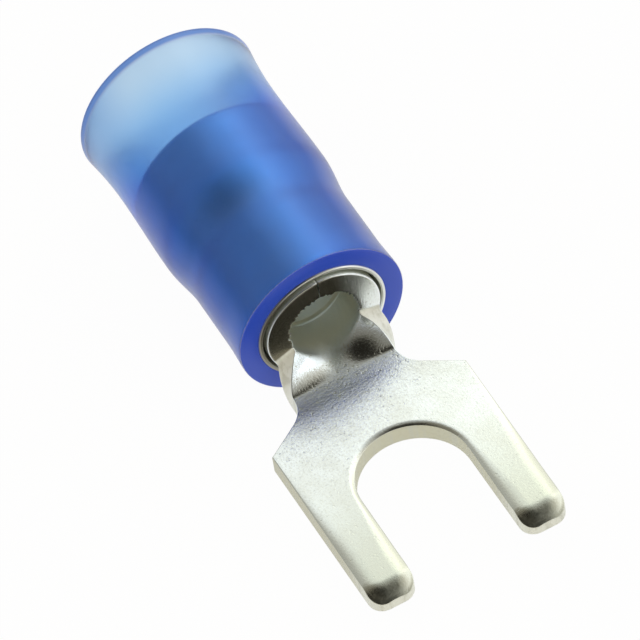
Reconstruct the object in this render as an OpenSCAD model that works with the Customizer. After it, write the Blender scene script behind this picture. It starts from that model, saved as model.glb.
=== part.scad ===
// Insulated fork terminal: rolled wire barrel and flat fork, metal grip sleeve, flared nylon insulator.
// X runs along the wire axis towards the fork tips, Z is up, sizes are in millimetres.

/* [Sheet metal] */
// Thickness of the sheet
stock = 0.73; // [0.5:0.01:0.8]
// Inside diameter of the wire barrel
bore_d = 2.45; // [2.2:0.05:2.7]
// Length of the wire barrel
barrel_length = 5.04; // [4.4:0.02:5.4]
// How far the barrel stands out of the insulator's front face
barrel_reach = 0.14; // [0.08:0.02:0.4]
// Width of the butt seam along the top of the barrel
seam_gap = 0.06; // [0.04:0.02:0.2]
// Break of the barrel's outer front edge
front_break = 0.07; // [0.02:0.01:0.12]
// Lead-in at the rear of the bore
entry_lead = 0.22; // [0.05:0.01:0.3]

/* [Wire grip grooves] */
// Number of grip grooves in the bore
groove_count = 3; // [1:1:4]
// Depth of a grip groove
groove_depth = 0.08; // [0.03:0.01:0.12]
// Width of a grip groove
groove_width = 0.3; // [0.15:0.05:0.4]
// Spacing of the grip grooves
groove_pitch = 1.1; // [0.6:0.05:1.2]
// Distance of the first groove from the front of the barrel
groove_start = 1.15; // [0.8:0.05:1.4]

/* [Neck] */
// Length of the neck from the barrel to the bend line
neck_length = 0.93; // [0.8:0.01:1.6]
// Width of the neck
neck_width = 3.56; // [3.1:0.02:3.9]
// Radius of the notch corner between barrel and neck
notch_radius = 0.35; // [0.15:0.05:0.5]
// Drop of the fork below the floor of the bore
fork_drop = 0.35; // [0.1:0.01:0.7]

/* [Fork] */
// Width across the fork
fork_width = 6.75; // [6.2:0.05:8]
// Width of the stud slot
slot_width = 3.68; // [3.2:0.02:4.2]
// Depth of the stud slot
slot_depth = 5.38; // [4:0.02:7]
// Metal between the shoulders' corners and the slot's base
web_length = 1.07; // [0.8:0.05:2]
// Angle of the shoulders to the wire axis
shoulder_angle = 57; // [50:1:66]
// Fillet between neck and shoulder
shoulder_fillet = 1; // [0.6:0.05:1.1]
// Width of the rolled upper edges of fork and slot
roll_width = 0.36; // [0.2:0.02:0.44]
// Depth of the rolled upper edges of fork and slot
roll_depth = 0.13; // [0.05:0.01:0.18]
// Rounding of the tips from above
tip_corner = 0.5; // [0.2:0.05:0.6]
// Rounding of the tips from the side
tip_nose = 0.62; // [0.4:0.02:0.7]

/* [Grip sleeve] */
// Wall of the sleeve
sleeve_wall = 0.14; // [0.1:0.01:0.2]
// Length of the sleeve
sleeve_length = 7.05; // [6.6:0.05:7.6]
// How far the sleeve's rim stands out of the insulator's front face
sleeve_reach = 0.05; // [0.02:0.01:0.07]
// Radial play of the barrel in the sleeve
barrel_play = 0.01; // [0.005:0.005:0.03]
// Radial flare of the sleeve's rim at the front
rim_flare = 0.09; // [0.04:0.01:0.14]
// Length of the flared rim
rim_length = 0.4; // [0.2:0.05:0.8]
// Radial step from the wire part to the insulation part
sleeve_step = 0.18; // [0.1:0.02:0.3]

/* [Insulator] */
// Length of the insulator
insulator_length = 10.14; // [9.6:0.02:11.4]
// Wall of the insulator over the sleeve
insulator_wall = 0.65; // [0.4:0.01:0.8]
// Radial play of the sleeve in the insulator
sleeve_play = 0.02; // [0.01:0.01:0.04]
// Radial swell of the insulator at the front face
front_swell = 0.05; // [0.01:0.01:0.1]
// Length of the front swell
swell_length = 1.2; // [0.6:0.05:2]
// Start of the step behind the front face
step_start = 3.2; // [2.4:0.05:3.4]
// Length of the step
step_length = 1.75; // [1:0.05:2]
// Taper of the wall behind the step
waist_taper = 0.06; // [0:0.01:0.1]
// Length of the flared mouth
flare_length = 2.1; // [1.2:0.05:2.3]
// Radial flare of the mouth
mouth_flare = 0.16; // [0.05:0.01:0.4]
// Wall of the insulator at the mouth
mouth_wall = 0.24; // [0.16:0.02:0.36]
// Rounding of the insulator's edges
lip_round = 0.06; // [0.02:0.01:0.07]

/* [Hidden] */
$fn = 96;
// How far the neck's faces lie inside the faces of barrel and fork
lap_inset = 0.012;
// How far the neck's ends reach into barrel and fork
lap = 0.28;
// How far a cut runs past what it cuts
over = 1;
bore_r = bore_d / 2;
mid_r = bore_r + stock / 2;
barrel_r = bore_r + stock;
barrel_back = barrel_reach - barrel_length;
bend_x = barrel_reach + neck_length;
fork_top = -(bore_r + fork_drop);
fork_base = fork_top - stock;
shoulder_run = (fork_width - neck_width) / 2 / tan(shoulder_angle);
fillet_run = shoulder_fillet * tan(shoulder_angle / 2);
shoulder_foot = bend_x + fillet_run;
shoulder_x = shoulder_foot + shoulder_run;
slot_x = shoulder_x + web_length;
slot_r = slot_width / 2;
slot_centre = slot_x + slot_r;
tip_x = slot_x + slot_depth;
sleeve_r = barrel_r + barrel_play + sleeve_wall;
sleeve_back = sleeve_reach - sleeve_length;
step_end = -(step_start + step_length);
flare_start = flare_length - insulator_length;
profile_steps = 14;
neck_stations = 14;
neck_strips = 16;
steel_tone = [0.80, 0.80, 0.77];
sleeve_tone = [0.74, 0.75, 0.76];
nylon_tone = [0.16, 0.32, 0.72, 0.75];

// Smooth rise from 0 to 1
function ease(s) = let (c = min(max(s, 0), 1)) c * c * (3 - 2 * c);
// Rise of the step at a place along the axis
function step_rise(x) = sleeve_step * ease((-step_start - x) / step_length);
// Outside radius of the sleeve at a place along the axis
function sleeve_out(x) =
    sleeve_r + step_rise(x) + rim_flare * ease((x - sleeve_reach + rim_length) / rim_length);
// Outside radius of the insulator at a place along the axis
function insulator_out(x) =
    sleeve_r + sleeve_play + insulator_wall + step_rise(x)
    + front_swell * ease((x + swell_length) / swell_length)
    - waist_taper * ease((step_end - x) / (step_end - flare_start))
    + (x < flare_start ? mouth_flare * pow((flare_start - x) / flare_length, 2) : 0);
// Inside radius of the insulator at a place along the axis
function insulator_in(x) =
    x >= sleeve_back - sleeve_play ? sleeve_out(x) + sleeve_play
    : let (s = (sleeve_back - sleeve_play - x) / (insulator_length + sleeve_back - sleeve_play))
      let (mouth = insulator_out(-insulator_length) - mouth_wall)
      sleeve_out(sleeve_back) + sleeve_play + (mouth - sleeve_out(sleeve_back) - sleeve_play) * ease(s);
// Places along the axis between two ends
function places(from, to, n) = [for (i = [0 : n]) from + (to - from) * i / n];

// Half width of the flat blank at a distance along the neck
function blank_half(d) =
    let (c = notch_radius - min(max(d, 0), notch_radius))
    neck_width / 2 + notch_radius - sqrt(max(notch_radius * notch_radius - c * c, 0));
// Share of the way from rolled to flat
function opened(x) = min(max((x - barrel_reach) / neck_length, 0), 1);
// Radius of an arc that leaves one face smoothly and drops by a depth over a width
function roll_radius(width, depth) = (width * width + depth * depth) / (2 * depth);
// Point of the rolled sheet from its place along and across the blank and its height in the sheet
function sheet_point(x, w, h) =
    let (e = opened(x))
    let (floor_z = -(mid_r + e * fork_drop))
    let (r = e > 0.999 ? 1e4 : mid_r / (1 - e))
    let (a = w / r * 180 / PI)
    [x, (r - h) * sin(a), floor_z + r - (r - h) * cos(a)];

// Neck of the sheet, rolled at the barrel and flat at the bend line
module neck() {
    half_sheet = stock / 2 - lap_inset;
    xs = concat([barrel_reach - lap], places(barrel_reach, bend_x, neck_stations), [bend_x + lap]);
    n = len(xs);
    m = neck_strips + 1;
    layer = n * m;
    points = [
        for (h = [half_sheet, -half_sheet], x = xs, j = [0 : neck_strips])
            sheet_point(x, (2 * j / neck_strips - 1) * (blank_half(x - barrel_reach) - lap_inset), h)
    ];
    top = [
        for (i = [0 : n - 2], j = [0 : m - 2]) let (k = i * m + j)
            each [[k, k + 1, k + m], [k + 1, k + m + 1, k + m]]
    ];
    base = [for (f = top) [f[2] + layer, f[1] + layer, f[0] + layer]];
    left = [
        for (i = [0 : n - 2]) let (k = i * m)
            each [[k, k + m, k + layer], [k + m, k + m + layer, k + layer]]
    ];
    right = [
        for (i = [0 : n - 2]) let (k = i * m + m - 1)
            each [[k, k + layer, k + m], [k + m, k + layer, k + m + layer]]
    ];
    back = [for (j = [0 : m - 2]) each [[j, j + layer, j + 1], [j + 1, j + layer, j + 1 + layer]]];
    front = [
        for (j = [0 : m - 2]) let (k = (n - 1) * m + j)
            each [[k, k + 1, k + layer], [k + 1, k + 1 + layer, k + layer]]
    ];
    polyhedron(points, concat(top, base, left, right, back, front));
}

// Rolled barrel with its seam, lead-in and grip grooves
module barrel() {
    difference() {
        translate([barrel_back, 0, 0])
            rotate([0, 90, 0]) rotate_extrude() polygon([
                [bore_r, entry_lead],
                [bore_r + entry_lead, 0],
                [barrel_r, 0],
                [barrel_r, barrel_length - front_break],
                [barrel_r - front_break, barrel_length],
                [bore_r, barrel_length]
            ]);
        for (i = [0 : groove_count - 1])
            translate([barrel_reach - groove_start - i * groove_pitch, 0, 0])
                rotate([0, -90, 0]) rotate_extrude() polygon([
                    [bore_r - groove_depth, 0],
                    [bore_r, 0],
                    [bore_r + groove_depth, groove_width / 3],
                    [bore_r + groove_depth, groove_width * 2 / 3],
                    [bore_r, groove_width],
                    [bore_r - groove_depth, groove_width]
                ]);
        translate([barrel_back - over, -seam_gap / 2, 0])
            cube([barrel_length + 2 * over, seam_gap, barrel_r + over]);
    }
}

// Flat root of the fork from the bend line to past the shoulders' corners
module fork_root() {
    foot = neck_width / 2;
    wide = fork_width / 2;
    run_x = fillet_run * cos(shoulder_angle);
    run_y = fillet_run * sin(shoulder_angle);
    translate([0, 0, fork_base]) linear_extrude(stock) difference() {
        polygon([
            [bend_x, -foot],
            [bend_x, foot],
            [shoulder_foot + run_x, foot + run_y],
            [shoulder_x, wide],
            [shoulder_x, -wide],
            [shoulder_foot + run_x, -foot - run_y]
        ]);
        for (side = [-1, 1]) translate([bend_x, side * (foot + shoulder_fillet)]) circle(shoulder_fillet);
    }
}

// Fork with rolled upper edges and rounded tips
module fork_arms() {
    wide = fork_width / 2;
    difference() {
        translate([shoulder_x, 0, 0]) rotate([90, 0, 90])
            linear_extrude(web_length + slot_depth) difference() {
                translate([-wide, fork_base]) square([fork_width, stock]);
                for (side = [0, 1])
                    mirror([side, 0]) translate([wide, fork_top]) edge_waste(roll_width, roll_depth);
            }
        stud_slot();
        translate([tip_x, wide + over, fork_top]) rotate([90, 0, 0])
            linear_extrude(fork_width + 2 * over) edge_waste(tip_nose, tip_nose);
        for (side = [0, 1]) mirror([0, side, 0]) translate([tip_x, 0, fork_base - over])
            linear_extrude(stock + 2 * over) {
                translate([0, wide]) edge_waste(tip_corner, tip_corner);
                translate([0, slot_r]) mirror([0, 1]) edge_waste(tip_corner, tip_corner);
            }
    }
}

// Corner that is cleared away to leave an edge rounded over a width and a depth
module edge_waste(width, depth) {
    r = roll_radius(width, depth);
    difference() {
        translate([-width, -depth]) square([width + over / 2, depth + over / 2]);
        translate([-width, -r]) circle(r);
    }
}

// Open slot for a stud, with its upper edge rolled
module stud_slot() {
    reach = tip_x - slot_centre + over;
    r = roll_radius(roll_width, roll_depth);
    rolled_r = slot_r + roll_width;
    translate([slot_centre, 0, fork_base - over]) cylinder(r = slot_r, h = stock + 2 * over);
    translate([slot_centre, -slot_r, fork_base - over]) cube([reach, slot_width, stock + 2 * over]);
    difference() {
        translate([slot_centre, 0, fork_top - roll_depth]) union() {
            cylinder(r = rolled_r, h = roll_depth + over);
            translate([0, -rolled_r, 0]) cube([reach, 2 * rolled_r, roll_depth + over]);
        }
        translate([slot_centre, 0, fork_top - r]) rotate([0, 0, 90])
            rotate_extrude(angle = 180) translate([rolled_r, 0]) circle(r);
        for (side = [-1, 1]) translate([slot_centre, side * rolled_r, fork_top - r])
            rotate([0, 90, 0]) cylinder(r = r, h = reach + over);
    }
}

// One stamped and rolled sheet: barrel, neck and fork
module terminal() {
    color(steel_tone) union() {
        barrel();
        neck();
        fork_root();
        fork_arms();
    }
}

// Thin tube over the barrel, wider where it holds the wire's covering
module grip_sleeve() {
    rim = places(sleeve_reach, sleeve_reach - rim_length, profile_steps / 2);
    step = places(-step_start, step_end, profile_steps);
    xs = concat(rim, step, [sleeve_back]);
    color(sleeve_tone) rotate([0, 90, 0]) rotate_extrude()
        polygon(concat(
            [for (x = xs) [sleeve_out(x), x]],
            [for (i = [len(xs) - 1 : -1 : 0]) [sleeve_out(xs[i]) - sleeve_wall, xs[i]]]
        ));
}

// Nylon sleeve with a stepped body and a flared mouth
module insulator() {
    back = -insulator_length;
    rim = places(0, sleeve_reach - rim_length, profile_steps / 2);
    step = places(-step_start, step_end, profile_steps);
    waist = places(step_end, flare_start, profile_steps);
    flare = places(flare_start, back + lip_round, profile_steps);
    funnel = places(sleeve_back - sleeve_play, back + lip_round, profile_steps);
    swell = places(-lip_round, -swell_length, profile_steps / 2);
    outer_xs = concat(
        swell,
        step,
        [for (i = [1 : profile_steps]) waist[i]],
        [for (i = [1 : profile_steps]) flare[i]]
    );
    inner_xs = concat(rim, step, funnel);
    color(nylon_tone) rotate([0, 90, 0]) rotate_extrude()
        polygon(concat(
            [[insulator_out(0) - lip_round, 0]],
            [for (x = outer_xs) [insulator_out(x), x]],
            [[insulator_out(back) - lip_round, back], [insulator_in(back) + lip_round, back]],
            [for (i = [len(inner_xs) - 1 : -1 : 0]) [insulator_in(inner_xs[i]), inner_xs[i]]]
        ));
}

terminal();
grip_sleeve();
insulator();
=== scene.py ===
import math
import random

import bmesh
import bpy
from bpy.props import FloatProperty, FloatVectorProperty, IntProperty, PointerProperty
from mathutils import Matrix, Vector
from mathutils.geometry import delaunay_2d_cdt


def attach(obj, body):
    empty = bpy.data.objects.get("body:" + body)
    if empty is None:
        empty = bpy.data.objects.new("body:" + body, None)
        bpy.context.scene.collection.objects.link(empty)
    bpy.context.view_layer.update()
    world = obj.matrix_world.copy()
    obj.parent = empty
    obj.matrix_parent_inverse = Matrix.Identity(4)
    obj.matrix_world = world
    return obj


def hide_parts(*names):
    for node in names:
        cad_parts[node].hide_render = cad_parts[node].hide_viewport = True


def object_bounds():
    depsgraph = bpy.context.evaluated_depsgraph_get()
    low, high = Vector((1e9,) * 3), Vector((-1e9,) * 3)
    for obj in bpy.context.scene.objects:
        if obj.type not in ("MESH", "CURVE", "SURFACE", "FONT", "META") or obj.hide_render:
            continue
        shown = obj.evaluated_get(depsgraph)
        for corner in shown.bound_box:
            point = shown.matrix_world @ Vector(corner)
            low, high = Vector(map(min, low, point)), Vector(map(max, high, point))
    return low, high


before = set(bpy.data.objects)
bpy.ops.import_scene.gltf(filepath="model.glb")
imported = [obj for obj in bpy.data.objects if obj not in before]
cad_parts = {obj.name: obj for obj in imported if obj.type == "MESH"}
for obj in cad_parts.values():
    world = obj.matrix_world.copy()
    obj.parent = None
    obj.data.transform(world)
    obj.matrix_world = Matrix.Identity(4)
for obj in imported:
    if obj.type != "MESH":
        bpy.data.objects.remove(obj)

bl_info = {
    "name": "Insulated fork terminal",
    "version": (1, 0, 0),
    "blender": (4, 5, 0),
    "location": "3D View > Sidebar > Fork terminal",
    "description": "Dresses the packed fork terminal and sets its studio",
    "category": "Object",
}

MM = 0.001
CAD_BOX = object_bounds()
PHOTO_PIXELS = 640
SENSOR_MM = 36.0

# Edge of the sheet: its small round, its plain rim and the flat strip kept beside the rim
EDGE_ROUND = 0.03 * MM
PLAIN_RIM = 0.07 * MM
RIM_STRIP = 0.04 * MM
SEAM_EDGE = 0.012 * MM
# Shares of a rim's width, and of the cut's height, where they have points
RIM_SHARES = (1.0, 0.88, 0.75, 0.62, 0.5, 0.38, 0.25, 0.12, 0.0)
CUT_SHARES = (0.0, 0.08, 0.92, 1.0)
# Rows of a rim's strip that lie on the cut
CUT_ROWS = slice(-7, -3)
# Share of the edge's round where its middle point lies
EDGE_SHARE = 0.3
# Power by which a rolled edge or a tip's nose falls to the cut
ROLL_POWER = 2.2
# How fast a roll grows along an arm, and the depth of the slot's roll for its width
ROLL_GROWTH = 1.25
SLOT_ROLL_SINK = 0.3
# Corner of a tip's flat, inside its nose
FLAT_CORNER = 0.2 * MM
# Burrs on the barrel's front edge: their seed, and their range in millimetres, with none under 0
BURR_SEED = 5
BURR_RANGE = (-0.05, 0.1)
# Faces that meet more sharply than this are not shaded as one
SHARP = math.radians(60)
# Shares of the neck over which it softly starts and stops to open, and its floor to fall
OPEN_EASE = (0.15, 0.2)
FALL_EASE = (0.2, 0.2)
# From this share on, the opened sheet counts as flat
FLAT_SHARE = 0.9999
# The bore's floor already falls inside the barrel, over this length and half width
BELL_LENGTH = 1.2 * MM
BELL_HALF = 1.6 * MM
BELL_EASE = (0.4, 0.1)
# How much wider the neck is on its right side where it leaves the barrel
NECK_LEAN = 0.2 * MM
# Points along the parts of the cut edge
NOTCH_STEPS, NECK_STEPS, FILLET_STEPS = 10, 14, 6
ARM_STEPS, TIP_STEPS, SLOT_STEPS, BASE_STEPS = 26, 16, 18, 28
# Columns of points across the sheet: over the neck, and round the barrel on each side of it
NECK_COLUMNS, SIDE_COLUMNS = 28, 36
# Rows of points along the barrel, and how near to a groove a row is left out
BARREL_ROWS = 18
ROW_CLEARANCE = 0.08 * MM
# Shares of a groove's width where it has rows, and how steeply its sides fall
GROOVE_SHARES = (-0.08, 0.0, 1 / 3, 2 / 3, 1.0, 1.08)
GROOVE_SLOPE = 3.0
# Points nearer than this, in millimetres, count as one where the flat is filled
SAME_POINT = 1e-6
# Round of the sleeve's edges, steps in a round, and points along the turned profiles
SLEEVE_ROUND = 0.05 * MM
ROUND_STEPS = 4
SLEEVE_POINTS, BODY_POINTS = 90, 110


def length(name, text, value):
    """A length property whose default is given in millimetres."""
    return FloatProperty(name=name, description=text, default=value * MM, min=0.0,
                         precision=5, subtype="DISTANCE", unit="LENGTH")


def mm(*values):
    """Lengths given in millimetres."""
    return tuple(value * MM for value in values)


def number(name, text, value, low=0.0, high=10.0):
    return FloatProperty(name=name, description=text, default=value, min=low, max=high)


def whole(name, text, value, low, high):
    return IntProperty(name=name, description=text, default=value, min=low, max=high)


def colour(name, text, value):
    return FloatVectorProperty(name=name, description=text, default=value, size=3,
                               min=0.0, max=1.0, subtype="COLOR")


class ForkSheet(bpy.types.PropertyGroup):
    """Sizes of the stamped and rolled sheet."""
    stock: length("Sheet", "Thickness of the sheet", 0.73)
    bore: length("Bore radius", "Radius of the wire barrel's bore", 1.225)
    barrel: length("Barrel length", "Length of the rolled barrel", 5.04)
    reach: length("Barrel reach", "How far the barrel stands out of the insulator", 0.14)
    seam: length("Seam gap", "Gap of the butt seam along the barrel's top", 0.03)
    lead: length("Lead-in", "Lead-in at the barrel's rear", 0.22)
    groove_depth: length("Groove depth", "Depth of the grip grooves in the bore", 0.04)
    groove_width: length("Groove width", "Width of a grip groove", 0.18)
    groove_pitch: length("Groove pitch", "Distance between grip grooves", 1.1)
    groove_start: length("First groove", "First groove, from the barrel's front", 1.15)
    grooves: whole("Grooves", "Number of grip grooves", 3, 0, 4)
    neck: length("Neck length", "Length of the neck from barrel to fork", 0.93)
    neck_width: length("Neck width", "Width of the neck across the flat blank", 3.56)
    notch: length("Notch radius", "Radius of the notch between barrel and neck", 0.1)
    drop: length("Fork drop", "How far the fork sits under the barrel's floor", 0.35)
    width: length("Fork width", "Width of the fork", 6.75)
    slot: length("Slot width", "Width of the fork's slot", 3.68)
    slot_depth: length("Slot depth", "Depth of the slot from the tips", 5.38)
    web: length("Web", "Metal between the shoulders and the slot", 1.07)
    shoulder: FloatProperty(name="Shoulder", description="Slope of the shoulders",
                            default=math.radians(57), subtype="ANGLE", unit="ROTATION")
    fillet: length("Shoulder fillet", "Fillet at the foot of the shoulders", 1.0)
    roll_width: length("Roll width", "Width of the rolled upper edges at the tips", 0.5)
    roll_depth: length("Roll depth", "Depth of the rolled upper edges at the tips", 0.1)
    slot_roll: length("Slot roll", "Width of the rolled edge at the slot's base", 0.2)
    tip_corner: length("Tip corner", "Corner radius of the tips", 0.5)
    tip_nose: length("Tip nose", "Length of the rounded noses of the tips", 0.65)
    tip_drop: length("Tip drop", "How far the noses of the tips fall", 0.37)
    tip_side: length("Tip sides", "How far the sides of the noses fall", 0.28)


class ForkSleeve(bpy.types.PropertyGroup):
    """Sizes of the grip sleeve."""
    radius: length("Radius", "Outside radius over the barrel", 2.105)
    wall: length("Wall", "Wall of the sleeve", 0.14)
    length: length("Length", "Length of the sleeve", 7.05)
    reach: length("Reach", "How far the sleeve stands out of the insulator", 0.05)
    rim_flare: length("Rim flare", "Flare of the front rim", 0.09)
    rim_length: length("Rim length", "Length of the front rim's flare", 0.4)
    step: length("Step", "Widening behind the barrel", 0.18)
    step_start: length("Step start", "Start of the step from the front", 3.2)
    step_length: length("Step length", "Length of the step", 1.75)
    segments: whole("Segments", "Segments round the sleeve", 160, 24, 256)


class ForkInsulator(bpy.types.PropertyGroup):
    """Sizes of the nylon insulator."""
    length: length("Length", "Length of the insulator", 10.14)
    wall: length("Wall", "Wall over the sleeve", 0.67)
    press: length("Press", "How far the nylon presses into the sleeve's plate", 0.01)
    swell: length("Front swell", "Swell of the front end", 0.05)
    swell_length: length("Swell length", "Length of the front swell", 1.2)
    taper: length("Waist taper", "Taper from the step to the flare", 0.06)
    flare_length: length("Flare length", "Length of the flared mouth", 2.1)
    flare: length("Mouth flare", "Flare of the mouth", 0.155)
    lip: length("Mouth wall", "Wall at the mouth's lip", 0.24)
    edge: length("Edge round", "Round on the ends' edges", 0.06)
    segments: whole("Segments", "Segments round the body", 160, 24, 256)


class ForkFinish(bpy.types.PropertyGroup):
    """Colours of the finishes."""
    tin: colour("Tin", "Tin plate", (0.91, 0.98, 1.0))
    tin_dull: colour("Dull tin", "Tin plate where the press has rubbed it", (0.70, 0.72, 0.65))
    # Arm tin is painted shade: it makes the arms darker than the rest of the sheet
    tin_arm_shaded: colour("Arm tin", "Tin plate on the arms", (0.70, 0.75, 0.665))
    # Worn tin also serves as painted shade: it darkens the rolled edges that lean sideways, and the cut faces
    # along the fork
    tin_worn_and_shade: colour("Worn tin", "Tin plate on the rolled edges", (0.72, 0.725, 0.60))
    # Bore tin is painted light: it makes the tin lighter and warmer inside the shaded bore
    tin_bore_lit: colour("Bore tin", "Tin plate inside the barrel", (0.96, 0.96, 0.84))
    tin_cut: colour("Cut tin", "Tin plate on the matt cut edges", (0.97, 1.0, 0.96))
    # This dark tone is the sheared face's own and also painted shade: it darkens the barrel's front face save
    # on its right side, and the sleeve's rim towards -Y
    sheared_and_shade: colour("Sheared", "Sheared front face of the barrel", (0.32, 0.30, 0.24))
    sleeve: colour("Sleeve", "Plate on the grip sleeve", (0.93, 0.94, 0.87))
    nylon: colour("Nylon tint", "Surface tint of the nylon", (0.95, 0.98, 1.0))
    nylon_mouth: colour("Nylon mouth", "Surface tint of the thin mouth", (0.86, 0.92, 0.96))
    # Painted shade: a darker tint on the left side of the mouth
    nylon_painted_shade: colour("Nylon shade", "Surface tint of the mouth's left side", (0.56, 0.71, 0.89))
    nylon_end: colour("Nylon front", "Blue that gathers in the frosted front face",
                      (0.024, 0.092, 0.74))
    nylon_lip: colour("Nylon lip", "Blue that gathers in the frosted lip of the mouth",
                      (0.13, 0.28, 0.78))
    nylon_depth: colour("Nylon depth", "Colour that a clear depth of nylon lets through",
                        (0.06, 0.585, 0.973))
    floor: colour("Floor", "Floor and backdrop", (0.9, 0.9, 0.9))


class ForkStage(bpy.types.PropertyGroup):
    """Sizes and levels of the studio."""
    floor_size: length("Floor size", "Side of the floor", 900.0)
    lamp_width: length("Lamp width", "Width of the softbox", 34.0)
    lamp_height: length("Lamp height", "Height of the softbox", 40.0)
    lamp_distance: length("Lamp distance", "Distance of the softbox", 90.0)
    lamp_power: number("Lamp power", "Power of the softbox in watts", 0.0016)
    room: number("Room", "Level of the room round the object", 0.56, 0.0, 2.0)
    glow: number("Glow", "Level of the soft glow round the softbox", 0.45, 0.0, 2.0)


def ease(value):
    """A smooth step from 0 to 1."""
    s = min(1.0, max(0.0, value))
    return s * s * (3.0 - 2.0 * s)


def soft_ramp(value, start, stop):
    """A straight ramp from 0 to 1 that starts and stops softly."""
    s = min(1.0, max(0.0, value))
    steep = 1.0 / (1.0 - (start + stop) / 2.0)
    if s < start:
        return steep * s * s / (2.0 * start)
    if s > 1.0 - stop:
        return 1.0 - steep * (1.0 - s) ** 2 / (2.0 * stop)
    return steep * (s - start / 2.0)


def link_piece(name, mesh, material):
    """Puts a mesh in the scene as a piece at the origin, with one material."""
    mesh.materials.clear()
    mesh.materials.append(material)
    piece = bpy.data.objects.new(name, mesh)
    bpy.context.scene.collection.objects.link(piece)
    return piece


def dress(piece, node):
    """Rides a piece on the root body in place of its CAD node."""
    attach(piece, "root")
    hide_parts(node)


# Materials

def put(tree, socket, value):
    """Joins a node, or one of its outputs, to a socket, or sets the socket's value."""
    if isinstance(value, bpy.types.Node):
        value = value.outputs[0]
    if isinstance(value, bpy.types.NodeSocket):
        tree.links.new(value, socket)
    else:
        socket.default_value = value


def add(tree, kind, *values, **named):
    """Adds a node, and fills its properties and sockets by their names, or its sockets in order."""
    node = tree.nodes.new(kind)
    for key, value in named.items():
        if key in node.bl_rna.properties:
            setattr(node, key, value)
        else:
            put(tree, node.inputs[key.replace("_", " ")], value)
    for socket, value in zip(node.inputs, values):
        put(tree, socket, value)
    return node


def new_tree(name):
    """A material, its empty node tree and the place on the piece."""
    old = bpy.data.materials.get(name)
    if old:
        bpy.data.materials.remove(old)
    material = bpy.data.materials.new(name)
    material.use_nodes = True
    tree = material.node_tree
    tree.nodes.clear()
    return material, tree, add(tree, "ShaderNodeTexCoord").outputs["Object"]


def noise(tree, place, scale, detail=4.0):
    return add(tree, "ShaderNodeTexNoise", Vector=place, Scale=scale, Detail=detail,
               Roughness=NOISE_ROUGHNESS)


def spread(tree, source, low, high, to_low=0.0, to_high=1.0, kind="SMOOTHSTEP"):
    """Maps a range of a value to another, clamped, with soft ends or in a straight line."""
    return add(tree, "ShaderNodeMapRange", source, low, high, to_low, to_high, interpolation_type=kind)


def blend(tree, factor, first, second):
    """Mixes two colours by a factor."""
    node = add(tree, "ShaderNodeMix", factor, data_type="RGBA")
    sockets = [s for s in node.inputs if s.type == "RGBA"]
    for socket, value in zip(sockets, (first, second)):
        put(tree, socket, value if isinstance(value, bpy.types.NodeSocket) else (*value, 1.0))
    return next(s for s in node.outputs if s.type == "RGBA")


def maths(tree, operation, *values):
    return add(tree, "ShaderNodeMath", *values, operation=operation)


def times(tree, first, second):
    return maths(tree, "MULTIPLY", first, second)


def plus(tree, first, second):
    return maths(tree, "ADD", first, second)


def vector_maths(tree, operation, *values):
    return add(tree, "ShaderNodeVectorMath", *values, operation=operation).outputs


def axes(tree, source):
    """The X, Y and Z of a vector."""
    return add(tree, "ShaderNodeSeparateXYZ", source).outputs


def facing(tree):
    """The X, Y and Z of the way that the surface faces."""
    return axes(tree, add(tree, "ShaderNodeNewGeometry").outputs["Normal"])


def stretched(tree, place, scale):
    """A place whose axes are scaled, so that a noise gets drawn out."""
    return add(tree, "ShaderNodeMapping", vector_type="POINT", Vector=place, Scale=scale)


def raised(tree, strength, distance, **sources):
    """The normal of a surface that a height raises."""
    return add(tree, "ShaderNodeBump", Strength=strength, Distance=distance, **sources)


# The noises' roughness, and their scales in the tin and in the sleeve's plate
NOISE_ROUGHNESS = 0.55
GRAIN_SCALE, CLOUD_SCALE, PIT_SCALE = 15000.0, 900.0, 8000.0
STREAK_SCALE, STREAK_STRETCH = 5000.0, (1.0, 1.0, 0.2)
LINE_SCALE, LINE_STRETCH, LINE_CLOUD_SCALE = 900.0, (9.0, 1.0, 1.0), 700.0
# Stretches along the sheet over which its finishes change, painted light and shade among them
BENT_RUN = mm(2.9, 1.2)
ROUGH_RUN = mm(0.3, 0.7)
BORE_RUN = mm(0.35, -0.3)
MATT_BORE_RUN = mm(0.7, 0.1)
FACE_SHADE_RUN = mm(0.16, 0.2)
ROLL_SHADE_RUN = mm(1.5, 2.5)
FORK_RUN = mm(1.6, 2.6)
ARM_SHADE_RUN = mm(3.5, 8.8)
TIP_HIGHLIGHT_RUN = mm(7.0, 8.8)
TIP_RUN = mm(8.2, 9.0)
# Stretches across the sheet and the sleeve over which the painted shade on the barrel's front face and the
# darkening of the sleeve's rim change
FACE_SHADE_SIDE = mm(0.4, 1.2)
RIM_DARK_SIDE = mm(0.2, -1.6)
# The tongue's last fall: where it sets in, how deep that is, and the end and depth of each part
FALL_ONSET = mm(0.85, 1.07)
FALL_SET_IN = -0.0224 * MM
FALL_PARTS = (mm(1.6, 0.025), mm(4.6, 0.194))
# Height of the fine bumps in the tin and on the nylon
TIN_BUMP = 0.01 * MM
NYLON_BUMP = 0.02 * MM
# The nylon: its optics, its skin's scales, its roughness and how strongly its depth tints
NYLON_OPTICS = {"IOR": 1.53, "Specular_IOR_Level": 0.3, "Coat_Weight": 0.16, "Coat_Roughness": 0.25,
                "Sheen_Weight": 0.1, "Sheen_Roughness": 0.4}
SKIN_SCALE, FINE_SKIN_SCALE = 500.0, 2600.0
SKIN_ROUGHNESS = (0.285, 0.315)
SKIN_PALER = 0.95
DEPTH_DENSITY = 2250.0
# Stretches of the nylon over which its tints and its painted shade change
FRONT_RUN = mm(-0.05, -0.01)
MOUTH_RUN = mm(-7.2, -9.8)
LIP_RUN = mm(-9.76, -9.96)
SHADED_SIDE = mm(-1.2, -2.6)
LIP_INSETS = mm(0.18, 0.1)


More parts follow.
